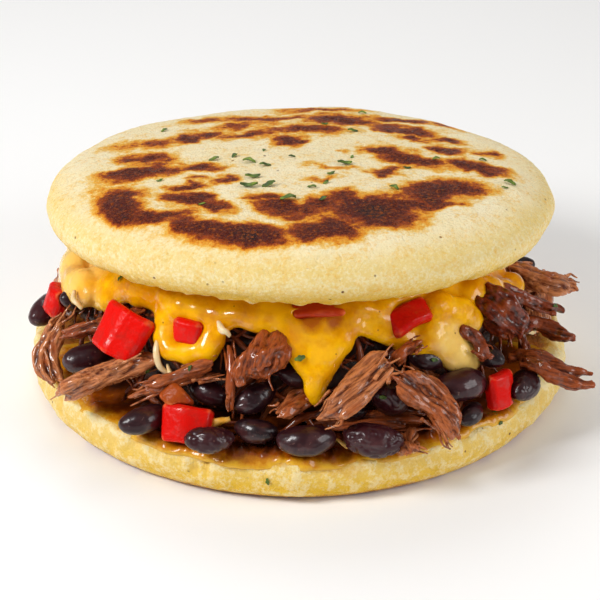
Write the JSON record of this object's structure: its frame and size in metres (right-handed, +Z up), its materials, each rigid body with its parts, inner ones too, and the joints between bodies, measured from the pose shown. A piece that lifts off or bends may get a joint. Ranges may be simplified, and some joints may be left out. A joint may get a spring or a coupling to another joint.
{
  "type": "stuffed arepa corn cake",
  "caption": "Round griddled corn cake split into two halves, with a heap of black beans, shredded beef, red pepper and melted cheese between them.",
  "frame": {"origin": "middle of the flat underside of the lower half", "axes": "+Z up through both halves, +X to the right and -Y towards the front, where the filling shows most"},
  "size_m": [0.1185, 0.1173, 0.0526],
  "materials": {
    "corn_cake_lower": "cooked corn dough: pale cream crust, moist crumb on the cut face",
    "corn_cake_upper": "cooked corn dough with deep brown griddle marks",
    "filling": "moist heap of shredded beef and beans",
    "melted_cheese": "soft melted cheese, satin to glossy",
    "bean_skin": "cooked black bean skin, glossy",
    "pepper_flesh": "cooked red pepper, glossy skin",
    "beef_fibre": "braised beef in fibres, moist"
  },
  "bodies": {
    "root": {"bottom_cake": "corn_cake_lower", "top_cake": "corn_cake_upper", "filling_bed": "filling", "cheese": "melted_cheese", "bean_01": "bean_skin", "bean_02": "bean_skin", "bean_03": "bean_skin", "bean_04": "bean_skin", "bean_05": "bean_skin", "bean_06": "bean_skin", "bean_07": "bean_skin", "bean_08": "bean_skin", "bean_09": "bean_skin", "bean_10": "bean_skin", "bean_11": "bean_skin", "bean_12": "bean_skin", "bean_13": "bean_skin", "bean_14": "bean_skin", "bean_15": "bean_skin", "bean_16": "bean_skin", "bean_17": "bean_skin", "bean_18": "bean_skin", "bean_19": "bean_skin", "bean_20": "bean_skin", "bean_21": "bean_skin", "bean_22": "bean_skin", "bean_23": "bean_skin", "pepper_01": "pepper_flesh", "pepper_02": "pepper_flesh", "pepper_03": "pepper_flesh", "pepper_04": "pepper_flesh", "pepper_05": "pepper_flesh", "pepper_06": "pepper_flesh", "pepper_07": "pepper_flesh", "pepper_08": "pepper_flesh", "pepper_09": "pepper_flesh", "pepper_10": "pepper_flesh", "beef_01": "beef_fibre", "beef_02": "beef_fibre", "beef_03": "beef_fibre", "beef_04": "beef_fibre", "beef_05": "beef_fibre", "beef_06": "beef_fibre", "beef_07": "beef_fibre", "beef_08": "beef_fibre", "beef_09": "beef_fibre", "beef_10": "beef_fibre", "beef_11": "beef_fibre", "beef_12": "beef_fibre", "beef_13": "beef_fibre", "beef_14": "beef_fibre", "beef_15": "beef_fibre", "beef_16": "beef_fibre", "beef_17": "beef_fibre", "beef_18": "beef_fibre", "beef_19": "beef_fibre", "beef_20": "beef_fibre", "beef_21": "beef_fibre", "beef_22": "beef_fibre", "beef_23": "beef_fibre"}
  },
  "joints": []
}
